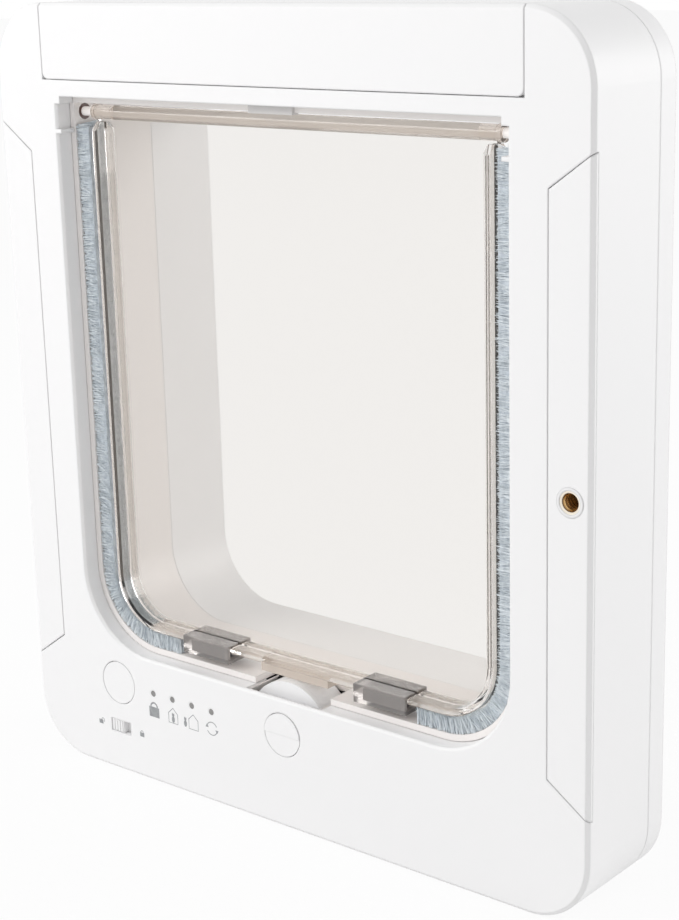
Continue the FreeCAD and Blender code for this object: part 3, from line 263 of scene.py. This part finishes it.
# The less clear tan finish of the rims, and of the bar's band of painted shade.
tan_rims_and_bar_shade = clear_shader(flap_recipe, RIM_TAN_AND_BAR_SHADE, 0.14, 0.35)
pane_clear = flap_recipe.cover_with(
    let_light_by(flap_recipe, flap_recipe.blend(rim_share | bar_shade_band, pane, tan_rims_and_bar_shade), PANE_TINT))
smoked = clear_plastic("smoked", (0.60, 0.565, 0.545), 0.12, 0.72)
clip_clear = clear_plastic("clip_clear", (0.92, 0.90, 0.89), 0.2, 0.3)
for node, finish in (("flap", pane_clear), ("hinge_clip", clip_clear),
                     ("left_magnet_holder", smoked), ("right_magnet_holder", smoked)):
    nodes[node].data.materials.clear()
    nodes[node].data.materials.append(finish)
print("clear plastics on 4 nodes")


# %% [markdown]
# ## Metal, magnets and what is inside
#
# Metals get their colour from the reflection, so a metal is a bright base colour, full metallic
# and a roughness that a fine streaked noise varies. The pieces behind the covers show only when
# the covers come off, but they are finished too.

# %% Metals and inner pieces
def metal(name, colour, roughness, streak=(400, 400, 40)):
    recipe = Recipe(name)
    lines = recipe.noise(recipe.place(streak), 5.0, 2.0)
    return recipe.finish(Base_Color=(*colour, 1), Metallic=1.0,
                         Roughness=lines * 0.15 + roughness, Normal=recipe.bump(lines, 0.05, 0.0001))


def speckled(name, dark, light, scale, roughness):
    recipe = Recipe(name)
    spots = recipe.noise(recipe.place(), scale, 3.0)
    colour = recipe.node("ShaderNodeValToRGB", {"stops": [(0.35, dark), (0.65, light)]}, {"Fac": spots})
    return recipe.finish(Base_Color=colour, Roughness=roughness, Normal=recipe.bump(spots, 0.1, 0.0001))


brass = metal("brass", (0.83, 0.62, 0.30), 0.18)
steel = metal("steel", (0.62, 0.62, 0.63), 0.25)
copper = metal("copper", (0.72, 0.36, 0.20), 0.35, (900, 900, 900))
magnet = speckled("magnet", (0.03, 0.03, 0.032), (0.07, 0.07, 0.072), 900.0, 0.45)
dark = speckled("dark_plastic", (0.035, 0.035, 0.037), (0.05, 0.05, 0.052), 1200.0, 0.5)
board_green = speckled("board_green", (0.01, 0.10, 0.05), (0.015, 0.14, 0.07), 500.0, 0.3)
jacket = speckled("cell_jacket", (0.05, 0.07, 0.11), (0.06, 0.09, 0.14), 300.0, 0.3)
lamp_grey = speckled("lamp_grey", (0.24, 0.235, 0.23), (0.29, 0.285, 0.28), 900.0, 0.25)
# The hinge bushes are a dark brown that paints the shade in the socket holes round the pins' ends.
socket_painted_shade = speckled("socket_painted_shade", (0.075, 0.032, 0.026), (0.11, 0.05, 0.04), 900.0, 0.3)
# The hinge pins are pale plastic with a faint glow of their own, which is painted light.
pin_recipe = Recipe("pin_painted_glow")
pin_painted_glow = pin_recipe.finish(
    Base_Color=(0.86, 0.83, 0.81, 1), Roughness=pin_recipe.noise(pin_recipe.place(), 300.0) * 0.1 + 0.3,
    Emission_Color=(1.0, 0.96, 0.93, 1), Emission_Strength=0.3)
inner_finishes = {
    "left_hinge_pin": pin_painted_glow, "right_hinge_pin": pin_painted_glow,
    "left_hinge_bush": socket_painted_shade, "right_hinge_bush": socket_painted_shade,
    "housing_screws": steel, "board_screws": steel, "battery_contacts": steel, "lock_motor": steel,
    "threaded_inserts": brass, "motor_pinion": brass, "antenna_coil": copper,
    "left_flap_magnet": magnet, "right_flap_magnet": magnet, "left_sill_magnet": magnet,
    "right_sill_magnet": magnet, "battery_tray": dark, "lock_bracket": dark, "button_switch": dark,
    "slide_switch": dark, "controller_chip": dark, "circuit_board": board_green,
    "battery_cells": jacket, "lamp_guides": lamp_grey, "status_leds": lamp_grey}
for node, finish in inner_finishes.items():
    nodes[node].data.materials.clear()
    nodes[node].data.materials.append(finish)
print("finishes on", len(inner_finishes), "more nodes")


# %% [markdown]
# ## Making a piece
#
# Each new piece starts as an empty bmesh and ends as an object at the origin, with its place in
# its mesh. One helper does the ending: it names the piece, smooths it, gives it a finish and
# lets it ride on the body that carries it.

# %% Helpers for new pieces
def piece(name, shape, finish, body, smooth=True):
    mesh = bpy.data.meshes.new(name)
    shape.to_mesh(mesh)
    shape.free()
    for face in mesh.polygons:
        face.use_smooth = smooth
    mesh.materials.append(finish)
    made = bpy.data.objects.new(name, mesh)
    bpy.context.scene.collection.objects.link(made)
    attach(made, body)
    print(f"{name}: {len(mesh.polygons)} faces")
    return made


# %% [markdown]
# ## The pile seals
#
# Each seal is a strip of woven pile in a J: down the tunnel wall, round the corner and a little
# way along the sill. Hair particles would not survive an export, so the pile is made of small
# tufts. One tuft is a dozen thin cones, each leaning its own way, and several hundred turned
# copies of it stand along the J. A shrunken copy of the CAD strip fills the space between them,
# in the shade colour of deep pile.

# %% Pile finish
def pile_finish(name, shade, tip):
    recipe = Recipe(name)
    tufts = recipe.noise(recipe.place((1, 1, 0.5)), 700.0, 3.0, 0.7)
    colour = recipe.node("ShaderNodeValToRGB", {"stops": [(0.30, shade), (0.62, tip)]}, {"Fac": tufts})
    return recipe.finish(Base_Color=colour, Roughness=0.9, Normal=recipe.bump(tufts, 0.6, 0.0004))


pile = pile_finish("pile", (0.58, 0.63, 0.67), (0.80, 0.85, 0.88))
pile_core = pile_finish("pile_core", (0.46, 0.51, 0.56), (0.66, 0.71, 0.76))

# %% The path of a seal
tunnel_low, tunnel_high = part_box("right_brush_seal")
WALL = tunnel_high.x
FLOOR = tunnel_low.z
TOP = tunnel_high.z
END = tunnel_low.x
BEND = 27.5 * MM
PILE = 6.2 * MM


def along_seal(distance):
    """A point on the seal's backing and the way its pile points, a distance from the top."""
    straight = TOP - FLOOR - BEND
    if distance < straight:
        return Vector((WALL, 0, TOP - distance)), Vector((-1, 0, 0))
    turned = min((distance - straight) / BEND, math.pi / 2)
    inward = Vector((-math.cos(turned), 0, math.sin(turned)))
    centre = Vector((WALL - BEND, 0, FLOOR + BEND))
    if turned < math.pi / 2:
        return centre - inward * BEND, inward
    rest = distance - straight - BEND * math.pi / 2
    return Vector((WALL - BEND - rest, 0, FLOOR)), Vector((0, 0, 1))


seal_length = TOP - FLOOR - BEND + BEND * math.pi / 2 + WALL - BEND - END
print(f"each seal is {seal_length * 1000:.0f} mm long")


# %% One tuft of pile
def tuft(number, rng):
    """A dozen leaning bristles that rise from the origin along Z."""
    shape = bmesh.new()
    for _ in range(12):
        strand = bmesh.ops.create_cone(shape, cap_ends=False, segments=3, radius1=0.22 * MM,
                                       radius2=0.07 * MM, depth=PILE * rng.uniform(0.90, 1.0))
        lift = Matrix.Translation((0, 0, PILE / 2))
        lean = Matrix.Rotation(rng.gauss(0, 0.13), 4, "X") @ Matrix.Rotation(rng.gauss(0, 0.13), 4, "Y")
        foot = Matrix.Translation((rng.uniform(-0.7, 0.7) * MM, rng.uniform(-0.7, 0.7) * MM, 0))
        bmesh.ops.transform(shape, matrix=foot @ lean @ lift, verts=strand["verts"])
    mesh = bpy.data.meshes.new(f"tuft_{number}")
    shape.to_mesh(mesh)
    shape.free()
    return mesh


rng = random.Random(7)
tufts = [tuft(number, rng) for number in range(8)]

# %% Both seals
near, far = tunnel_low.y + 0.7 * MM, tunnel_high.y - 0.7 * MM
for side, sign in (("left", -1), ("right", 1)):
    seal = bmesh.new()
    steps = int(seal_length / (1.15 * MM))
    rows = 7
    for step in range(steps):
        for row in range(rows):
            distance = (step + rng.uniform(0.2, 0.8)) * seal_length / steps
            foot, inward = along_seal(distance)
            foot.y = near + (far - near) * (row + rng.uniform(-0.2, 0.2)) / (rows - 1)
            foot.y = min(max(foot.y, near), far)
            turn = inward.to_track_quat("Z", "Y").to_matrix().to_4x4()
            spin = Matrix.Rotation(rng.uniform(0, 6.28), 4, "Z")
            count = len(seal.verts)
            seal.from_mesh(rng.choice(tufts))
            seal.verts.ensure_lookup_table()
            fresh = [seal.verts[i] for i in range(count, len(seal.verts))]
            bmesh.ops.transform(seal, matrix=Matrix.Translation(foot) @ turn @ spin, verts=fresh)
    if sign < 0:
        bmesh.ops.mirror(seal, geom=seal.verts[:] + seal.edges[:] + seal.faces[:], axis="X",
                         merge_dist=-1)
        bmesh.ops.delete(seal, geom=[v for v in seal.verts if v.co.x > 0], context="VERTS")
        bmesh.ops.reverse_faces(seal, faces=seal.faces[:])
    bristles = piece(f"{side}_pile", seal, pile, "casing", smooth=False)
    core = bmesh.new()
    core.from_mesh(nodes[f"{side}_brush_seal"].data)
    bmesh.ops.remove_doubles(core, verts=core.verts[:], dist=1e-6)
    base = piece(f"{side}_pile_core", core, pile_core, "casing", smooth=False)
    shrink = base.modifiers.new("shrink", "DISPLACE")
    shrink.strength, shrink.mid_level = -0.9 * MM, 0
    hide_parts(f"{side}_brush_seal")


# %% [markdown]
# ## The threaded inserts
#
# The right side cover is pierced by a brass insert with a metric thread, and its twin sits under
# the left cover. The bore is turned from one profile: a countersunk mouth, and then a zigzag of
# thread flanks, coarser than the real pitch of 1 mm so that they show at this size. A ring for
# each turn looks the same as a helix, and closes by itself. A thin raised lip round the cover's
# hole hides the outer part of the insert's face.

# %% Brass inserts
insert_low, insert_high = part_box("threaded_inserts")
outer = (insert_high.z - insert_low.z) / 2
length = 12 * MM
profile = [(outer - 0.2 * MM, 0), (3.1 * MM, 0), (2.95 * MM, 0.2 * MM)]
PITCH = 1.6 * MM
for turn_number in range(7):
    start = 0.35 * MM + turn_number * PITCH
    profile += [(2.95 * MM, start), (2.4 * MM, start + 0.5 * PITCH), (2.95 * MM, start + 0.62 * PITCH)]
profile += [(3.1 * MM, length), (outer, length), (outer, 0.2 * MM)]
inserts = bmesh.new()
for x, near_end in ((insert_low.x + outer, insert_high.y - length),
                    (insert_high.x - outer, insert_low.y)):
    ring = [inserts.verts.new((radius, depth, 0)) for radius, depth in profile]
    edges = [inserts.edges.new((a, b)) for a, b in zip(ring, ring[1:] + ring[:1])]
    before = len(inserts.verts) - len(ring)
    bmesh.ops.spin(inserts, geom=ring + edges, axis=(0, 1, 0), cent=(0, 0, 0), steps=48,
                   angle=2 * math.pi, use_merge=True)
    inserts.verts.ensure_lookup_table()
    fresh = [inserts.verts[i] for i in range(before, len(inserts.verts))]
    bmesh.ops.translate(inserts, verts=fresh, vec=(x, near_end, insert_low.z + outer))
bmesh.ops.remove_doubles(inserts, verts=inserts.verts[:], dist=1e-6)
bmesh.ops.recalc_face_normals(inserts, faces=inserts.faces[:])
# The bore is coloured in bands, dark brown and bright brass once per turn of the thread: painted shade and
# painted highlight on the thread flanks.
bore_recipe = Recipe("bore_brass")
depth = bore_recipe.node("ShaderNodeSeparateXYZ", {}, {"Vector": bore_recipe.place()}, output="Y")
turn_part = bore_recipe.node("ShaderNodeMath", {"operation": "FRACT"},
                             {0: (depth - (front + 0.35 * MM)) * (1 / PITCH)})
thread_light_and_shade = bore_recipe.node("ShaderNodeValToRGB", {
    "stops": [(0.0, (0.13, 0.06, 0.02)), (0.45, (0.78, 0.52, 0.24)), (0.75, (0.13, 0.06, 0.02))]},
    {"Fac": turn_part})
bore_brass = bore_recipe.finish(
    Base_Color=thread_light_and_shade, Metallic=1.0,
    Roughness=bore_recipe.noise(bore_recipe.place(), 2000.0) * 0.1 + 0.2)
threads = piece("insert_threads", inserts, bore_brass, "casing", smooth=False)
# The end faces of the inserts are a pale cream brass, a painted highlight that stands for their bright
# reflection.
end_glint_recipe = Recipe("brass_end_glint")
threads.data.materials.append(end_glint_recipe.finish(
    Base_Color=(0.93, 0.86, 0.74, 1), Metallic=0.5,
    Roughness=end_glint_recipe.noise(end_glint_recipe.place(), 900.0) * 0.1 + 0.25))
near_ends = (insert_low.y, insert_high.y - length)
for face in threads.data.polygons:
    past_lip = min(face.center.y - near_ends[0], abs(face.center.y - near_ends[1]))
    face.material_index = int(past_lip < 0.12 * MM)
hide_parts("threaded_inserts")


def turned_ring(profile, x, z, degrees=(0, 360), steps=72):
    """A rectangle of (radius, depth) corners spun about a line through the door."""
    shape = bmesh.new()
    first, last = (math.radians(angle) for angle in degrees)
    corners = [shape.verts.new((radius * math.cos(first), depth, radius * math.sin(first)))
               for radius, depth in profile]
    loop = [shape.edges.new((a, b)) for a, b in zip(corners, corners[1:] + corners[:1])]
    whole = abs(last - first - 2 * math.pi) < 1e-6
    bmesh.ops.spin(shape, geom=corners + loop, axis=(0, -1, 0), cent=(0, 0, 0), steps=steps,
                   angle=last - first, use_merge=whole)
    bmesh.ops.remove_doubles(shape, verts=shape.verts[:], dist=1e-6)
    bmesh.ops.holes_fill(shape, edges=shape.edges[:], sides=4)
    bmesh.ops.recalc_face_normals(shape, faces=shape.faces[:])
    bmesh.ops.translate(shape, verts=shape.verts[:], vec=(x, front, z))
    return shape


def rectangle(inner, outer, near, far):
    return [(inner, near), (outer, near), (outer, far), (inner, far)]


lip = turned_ring(rectangle(3.65 * MM, 4.8 * MM, -0.14 * MM, 0.02 * MM),
                  insert_high.x - outer, insert_low.z + outer)
piece("cover_hole_lip", lip, casing_white, "right_cover", smooth=False)

# %% [markdown]
# ## The lock
#
# The knob's face has a half step for a fingertip, from one side to the other. A flat disc is cut
# across at its middle, and the front of its upper half is drawn out. The disc behind the sill is
# the front of a hollow drum, whose round wall is one rectangle spun about the knob's axis. Just
# outside the drum's lugs the sill has a round pocket, of which the two upper sides are made here.

# %% Knob face and drum wall
knob_low, knob_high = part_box("lock_knob")
knob_z = (knob_low.z + knob_high.z) / 2
knob_radius = (knob_high.x - knob_low.x) / 2
FACE, STEP, SLOPE = 0.30 * MM, 0.32 * MM, 0.22 * MM
face_shape = bmesh.new()
bmesh.ops.create_cone(face_shape, cap_ends=True, segments=96, radius1=knob_radius,
                      radius2=knob_radius, depth=FACE)
bmesh.ops.rotate(face_shape, verts=face_shape.verts[:], cent=(0, 0, 0),
                 matrix=Matrix.Rotation(math.pi / 2, 3, "X"))
for cut_height in (0, -SLOPE):
    everything = face_shape.verts[:] + face_shape.edges[:] + face_shape.faces[:]
    bmesh.ops.bisect_plane(face_shape, geom=everything,
                           plane_co=(0, 0, cut_height), plane_no=(0, 0, 1))
raised = [v for v in face_shape.verts if v.co.y < 0 and v.co.z > -SLOPE / 2]
bmesh.ops.translate(face_shape, verts=raised, vec=(0, -STEP, 0))
bmesh.ops.translate(face_shape, verts=face_shape.verts[:], vec=(0, front + FACE / 2 - 0.03 * MM, knob_z))
bmesh.ops.recalc_face_normals(face_shape, faces=face_shape.faces[:])
piece("knob_face", face_shape, button_white, "lock_drum", smooth=False)

wall = turned_ring(rectangle(16.4 * MM, 18.22 * MM, 5.6 * MM, 17.2 * MM), 0, knob_z)
piece("drum_wall", wall, button_white, "lock_drum", smooth=False)
POCKET_SIDES = {"right": (-35, 39.5), "left": (140.5, 215)}
for side, degrees in POCKET_SIDES.items():
    pocket = turned_ring(rectangle(20.4 * MM, 20.9 * MM, 2.6 * MM, 17.0 * MM), 0, knob_z, degrees, 24)
    piece(f"{side}_pocket_wall", pocket, tunnel_white, "casing", smooth=False)

# %% [markdown]
# ## The printed marks
#
# Under each lamp is a small mark in thin grey ink. They are drawn here as plain signs of their
# kind: a padlock, a house with an animal in it, one with the animal beside it, and two arrows in
# a ring. A line is a curve with a round section, and a filled shape is a short drum with few or
# many sides. Both are made a mesh and pressed flat on the casing.

# %% Ink and its tools
ink_recipe = Recipe("ink")
ink_tone = ink_recipe.noise(ink_recipe.place(), 900.0, 2.0)
ink = ink_recipe.finish(
    Base_Color=ink_recipe.node("ShaderNodeValToRGB", {
        "stops": [(0.3, (0.27, 0.28, 0.29)), (0.7, (0.36, 0.37, 0.38))]}, {"Fac": ink_tone}),
    Roughness=0.5)
INK = 0.03 * MM


def line(shape, points, width, closed=False):
    """Adds a drawn line to a mark, through points in millimetres across and up."""
    curve = bpy.data.curves.new("line", "CURVE")
    curve.dimensions, curve.bevel_depth, curve.bevel_resolution = "3D", width / 2 * MM, 1
    curve.use_fill_caps = True
    spline = curve.splines.new("POLY")
    spline.points.add(len(points) - 1)
    for spot, (x, z) in zip(spline.points, points):
        spot.co = (x * MM, 0, z * MM, 1)
    spline.use_cyclic_u = closed
    holder = bpy.data.objects.new("line", curve)
    mesh = bpy.data.meshes.new_from_object(holder)
    shape.from_mesh(mesh)
    bpy.data.objects.remove(holder)


def blot(shape, x, z, wide, high, sides=24, turn=0.0):
    """Adds a filled round or cornered spot to a mark."""
    spot = bmesh.ops.create_cone(shape, cap_ends=True, segments=sides, radius1=MM, radius2=MM, depth=MM)
    size = Matrix.Diagonal((wide / 2, 1, high / 2, 1))
    stand = Matrix.Rotation(math.pi / 2, 4, "X")
    matrix = Matrix.Translation((x * MM, 0, z * MM)) @ size @ Matrix.Rotation(turn, 4, "Y") @ stand
    bmesh.ops.transform(shape, matrix=matrix, verts=spot["verts"])


def arc(x, z, radius, start, end, count=14):
    angles = [math.radians(start + (end - start) * i / count) for i in range(count + 1)]
    return [(x + radius * math.cos(a), z + radius * math.sin(a)) for a in angles]


def press(name, shape, x, z):
    """Presses a mark flat and prints it on the casing at a place in millimetres."""
    bmesh.ops.scale(shape, verts=shape.verts[:], vec=(1, 0.05, 1))
    low = min(v.co.y for v in shape.verts)
    bmesh.ops.translate(shape, verts=shape.verts[:], vec=(x * MM, front - INK - low, z * MM))
    for vert in shape.verts:
        vert.co.y = min(vert.co.y, front + INK)
    return piece(name, shape, ink, "casing", smooth=False)


# %% The four marks
def padlock(shape, x=0, z=0, size=1.0, open_by=0.0):
    blot(shape, x, z - 1.1 * size, 7.2 * size, 5.6 * size, 4, math.pi / 4)
    line(shape, arc(x + open_by, z + 0.9 * size, 1.65 * size, 0, 180)
         + [(x + open_by - 1.65 * size, z)] * (open_by == 0), 0.75 * size)
    line(shape, [(x + open_by + 1.65 * size, z + 0.9 * size), (x + open_by + 1.65 * size, z - 0.4)],
         0.75 * size)


def house(shape, x=0, z=0):
    line(shape, [(x - 2.3, z - 2.8), (x + 2.3, z - 2.8), (x + 2.3, z + 1.0), (x, z + 3.1),
                 (x - 2.3, z + 1.0)], 0.38, closed=True)


def animal(shape, x=0, z=0):
    blot(shape, x, z - 0.7, 1.5, 2.6)
    blot(shape, x, z + 1.0, 1.2, 1.1)
    for side in (-0.38, 0.38):
        blot(shape, x + side, z + 1.55, 0.6, 0.8, 3)


LAMPS = [(-63.3 + 9.78 * i, 29.1) for i in range(4)]
marks = [bmesh.new() for _ in LAMPS]
padlock(marks[0], 0, 0.3)
house(marks[1])
animal(marks[1], 0, -0.6)
house(marks[2], 0.5)
animal(marks[2], -3.6, -0.6)
for half in (0, 180):
    line(marks[3], arc(0, 0, 2.5, 25 + half, 165 + half), 0.38)
    tip = arc(0, 0, 2.5, 165 + half, 165 + half, 1)[0]
    blot(marks[3], tip[0], tip[1], 1.8, 1.8, 3, math.radians(-half))
for number, (shape, (x, z)) in enumerate(zip(marks, LAMPS), start=1):
    press(f"lamp_mark_{number}", shape, x, z)

# %% [markdown]
# On each side of the small slider is one more padlock, open at the left and shut at the right.

# %% Slider marks
for side, x, gap in (("open", -92.5, 1.0), ("shut", -70.5, 0.0)):
    shape = bmesh.new()
    padlock(shape, 0, 0, 0.42, gap)
    press(f"slider_mark_{side}", shape, x, 17.9)

# %% [markdown]
# ## Floor and backdrop
#
# The photograph has a plain white ground. The floor is a matt white sheet, mixed with a plain
# white glow for what the camera, a reflection or the clear flap sees of it, so the ground stays
# white without more light on the object, and the object's soft shadow stays on it.

# %% Floor
floor_mesh = bpy.data.meshes.new("floor")
sheet = bmesh.new()
bmesh.ops.create_grid(sheet, x_segments=1, y_segments=1, size=6)
sheet.to_mesh(floor_mesh)
sheet.free()
floor = bpy.data.objects.new("floor", floor_mesh)
bpy.context.scene.collection.objects.link(floor)
floor_recipe = Recipe("floor_white")
rays = floor_recipe.tree.nodes.new("ShaderNodeLightPath")
seen = Wire(floor_recipe, rays.outputs["Is Camera Ray"]) + Wire(floor_recipe, rays.outputs["Is Glossy Ray"])
seen = seen + Wire(floor_recipe, rays.outputs["Is Transmission Ray"])
matt = floor_recipe.node("ShaderNodeBsdfDiffuse", {}, {"Color": (0.86, 0.86, 0.86, 1)})
glow = floor_recipe.node("ShaderNodeEmission", {}, {"Color": (1, 1, 1, 1), "Strength": 1.0})
share = floor_recipe.node("ShaderNodeMath", {"operation": "MULTIPLY", "use_clamp": True}, {0: seen, 1: 0.92})
mixed = floor_recipe.node("ShaderNodeMixShader", {}, {0: share, 1: matt, 2: glow})
floor_recipe.tree.links.new(mixed.socket, floor_recipe.output.inputs["Surface"])
floor_mesh.materials.append(floor_recipe.material)

# %% [markdown]
# ## Light
#
# The light is that of a white tent: even from all round, and stronger from the upper left, so
# the front fades a little towards its lower right. A lamp behind the door on the right lights the
# casing's side and the tunnel's left wall, which shows through the flap.

# %% World and lamps
world = bpy.data.worlds.new("tent")
world.use_nodes = True
bpy.context.scene.world = world
tree = world.node_tree
tree.nodes.clear()
rays = tree.nodes.new("ShaderNodeLightPath")
soft = tree.nodes.new("ShaderNodeBackground")
soft.inputs["Strength"].default_value = 0.62
white = tree.nodes.new("ShaderNodeBackground")
for background in (soft, white):
    background.inputs["Color"].default_value = (1, 1, 1, 1)
pick = tree.nodes.new("ShaderNodeMixShader")
both = tree.nodes.new("ShaderNodeMath")
both.operation = "MAXIMUM"
three = tree.nodes.new("ShaderNodeMath")
three.operation = "MAXIMUM"
tree.links.new(rays.outputs["Is Camera Ray"], both.inputs[0])
tree.links.new(rays.outputs["Is Glossy Ray"], both.inputs[1])
tree.links.new(both.outputs[0], three.inputs[0])
tree.links.new(rays.outputs["Is Transmission Ray"], three.inputs[1])
tree.links.new(three.outputs[0], pick.inputs[0])
tree.links.new(soft.outputs[0], pick.inputs[1])
tree.links.new(white.outputs[0], pick.inputs[2])
tree.links.new(pick.outputs[0], tree.nodes.new("ShaderNodeOutputWorld").inputs[0])


def lamp(name, place, aim, size, power):
    light = bpy.data.lights.new(name, "AREA")
    light.shape, light.size, light.energy = "DISK", size, power
    made = bpy.data.objects.new(name, light)
    made.location = place
    made.rotation_euler = (Vector(aim) - Vector(place)).to_track_quat("-Z", "Y").to_euler()
    bpy.context.scene.collection.objects.link(made)


middle = (0, 0, 0.14)
lamp("left_front", (-0.9, -1.1, 0.9), middle, 1.0, 12.5)
lamp("right_rear", (1.1, 0.9, 0.5), middle, 1.0, 7.5)
bpy.context.scene.view_settings.view_transform = "Standard"
print("world and 2 lamps")
